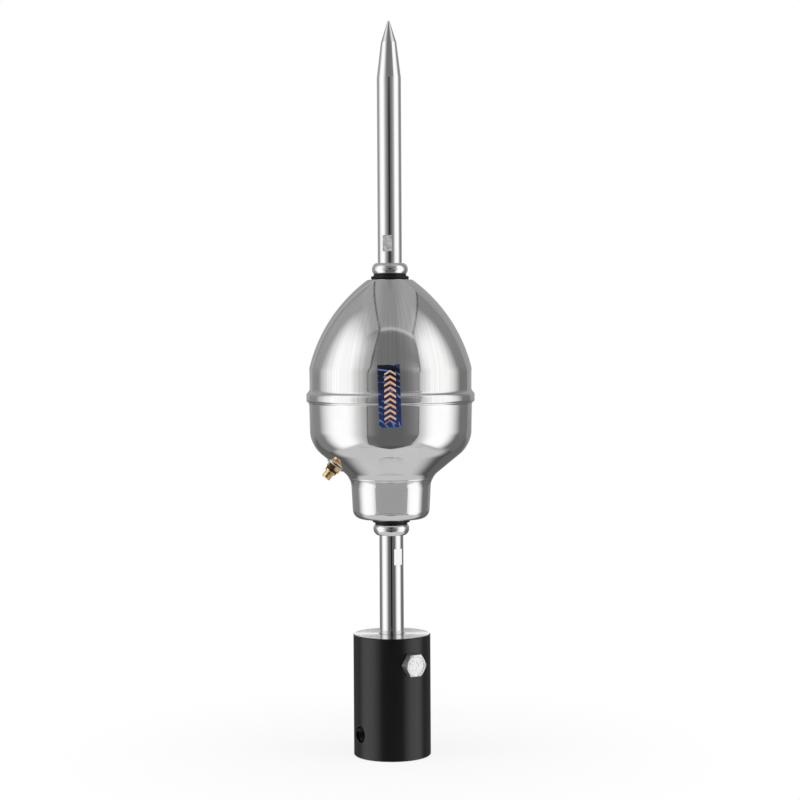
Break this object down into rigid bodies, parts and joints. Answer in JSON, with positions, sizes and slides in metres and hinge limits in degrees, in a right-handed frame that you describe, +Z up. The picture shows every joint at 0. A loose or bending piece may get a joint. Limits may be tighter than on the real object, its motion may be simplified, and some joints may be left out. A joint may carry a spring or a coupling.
{
  "type": "lightning rod",
  "caption": "Lightning rod air terminal with a pointed polished finial, an ogive steel head with an equatorial bead and neck, a test jack, a support rod and a black mast adaptor",
  "frame": {"origin": "middle of the foot of the mast adaptor", "axes": "+Z up along the rods, -Y towards the side that carries the label, +X to the right as seen from that side"},
  "size_m": [0.1268, 0.127, 0.55],
  "materials": {
    "polished_steel": "mirror polished stainless steel",
    "shell_steel": "spun stainless steel, polished",
    "core_steel": "turned steel bar",
    "zinc_steel": "bright zinc-plated steel",
    "black_coat": "satin black",
    "seal_rubber": "smooth black rubber",
    "insulator": "polyamide",
    "gold_brass": "gold-coloured plated brass",
    "ring_plastic": "black plastic",
    "unit_plastic": "black plastic and resin",
    "label_film": "printed film",
    "lead_red": "insulated wire",
    "lead_black": "insulated wire"
  },
  "bodies": {
    "root": {"finial_rod": "polished_steel", "support_rod": "polished_steel", "upper_collar": "polished_steel", "lower_collar": "polished_steel", "upper_shell": "shell_steel", "lower_shell": "shell_steel", "core_bar": "core_steel", "pulse_clip": "core_steel", "clamp_bolt": "zinc_steel", "jack_washer": "zinc_steel", "mast_adaptor": "black_coat", "upper_seal": "seal_rubber", "lower_seal": "seal_rubber", "upper_bush": "insulator", "lower_bush": "insulator", "jack_insulator": "insulator", "jack_body": "gold_brass", "jack_contact": "gold_brass", "jack_tag": "gold_brass", "jack_back_nut": "gold_brass", "jack_ring": "ring_plastic", "pulse_case": "unit_plastic", "pulse_fill": "unit_plastic", "label": "label_film", "test_lead": "lead_red", "shell_lead": "lead_black"}
  },
  "joints": []
}
